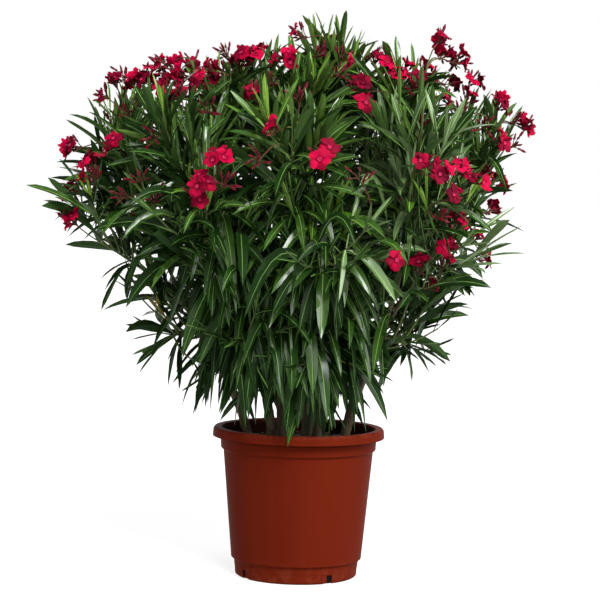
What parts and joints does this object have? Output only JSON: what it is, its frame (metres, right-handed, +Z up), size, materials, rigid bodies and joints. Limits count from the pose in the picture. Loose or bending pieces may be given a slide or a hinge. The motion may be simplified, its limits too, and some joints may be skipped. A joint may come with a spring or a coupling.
{
  "type": "potted oleander",
  "caption": "Bushy flowering oleander shrub of several stems, with narrow leaves and red blossom, in a round tapered plastic nursery pot.",
  "frame": {"origin": "middle of the pot's flat underside", "axes": "+Z up along the pot's axis, -Y towards the front of the plant, +X to the right seen from the front"},
  "size_m": [0.9991, 0.8601, 1.093],
  "materials": {
    "pot": "satin",
    "soil": "matte",
    "bark": "matte",
    "green_bark": "matte",
    "foliage": "satin"
  },
  "bodies": {
    "root": {"pot": "pot", "soil": "soil", "stem_left": "bark", "stem_front_left": "bark", "stem_front": "bark", "stem_front_right": "bark", "stem_back_right": "bark", "stem_back": "bark", "stem_back_left": "bark", "stem_inner_left": "bark", "stem_inner_right": "bark", "bough_left_upper": "green_bark", "bough_left_outer": "green_bark", "bough_front_left_upper": "green_bark", "bough_front_left_outer": "green_bark", "bough_front_upper": "green_bark", "bough_front_outer": "green_bark", "bough_front_right_upper": "green_bark", "bough_front_right_outer": "green_bark", "bough_back_right_upper": "green_bark", "bough_back_right_outer": "green_bark", "bough_back_upper": "green_bark", "bough_back_outer": "green_bark", "bough_back_left_upper": "green_bark", "bough_back_left_outer": "green_bark", "bough_inner_left_top": "green_bark", "bough_inner_left_crest": "green_bark", "bough_inner_left_heart": "green_bark", "bough_inner_right_top": "green_bark", "bough_inner_right_crest": "green_bark", "bough_inner_right_heart": "green_bark", "leaves_left_upper": "foliage", "leaves_left_outer": "foliage", "leaves_left_low": "foliage", "leaves_front_left_upper": "foliage", "leaves_front_left_outer": "foliage", "leaves_front_left_low": "foliage", "leaves_front_upper": "foliage", "leaves_front_outer": "foliage", "leaves_front_low": "foliage", "leaves_front_right_upper": "foliage", "leaves_front_right_outer": "foliage", "leaves_front_right_low": "foliage", "leaves_back_right_upper": "foliage", "leaves_back_right_outer": "foliage", "leaves_back_right_low": "foliage", "leaves_back_upper": "foliage", "leaves_back_outer": "foliage", "leaves_back_low": "foliage", "leaves_back_left_upper": "foliage", "leaves_back_left_outer": "foliage", "leaves_back_left_low": "foliage", "leaves_inner_left_top": "foliage", "leaves_inner_left_crest": "foliage", "leaves_inner_left_heart": "foliage", "leaves_inner_right_top": "foliage", "leaves_inner_right_crest": "foliage", "leaves_inner_right_heart": "foliage"}
  },
  "joints": []
}
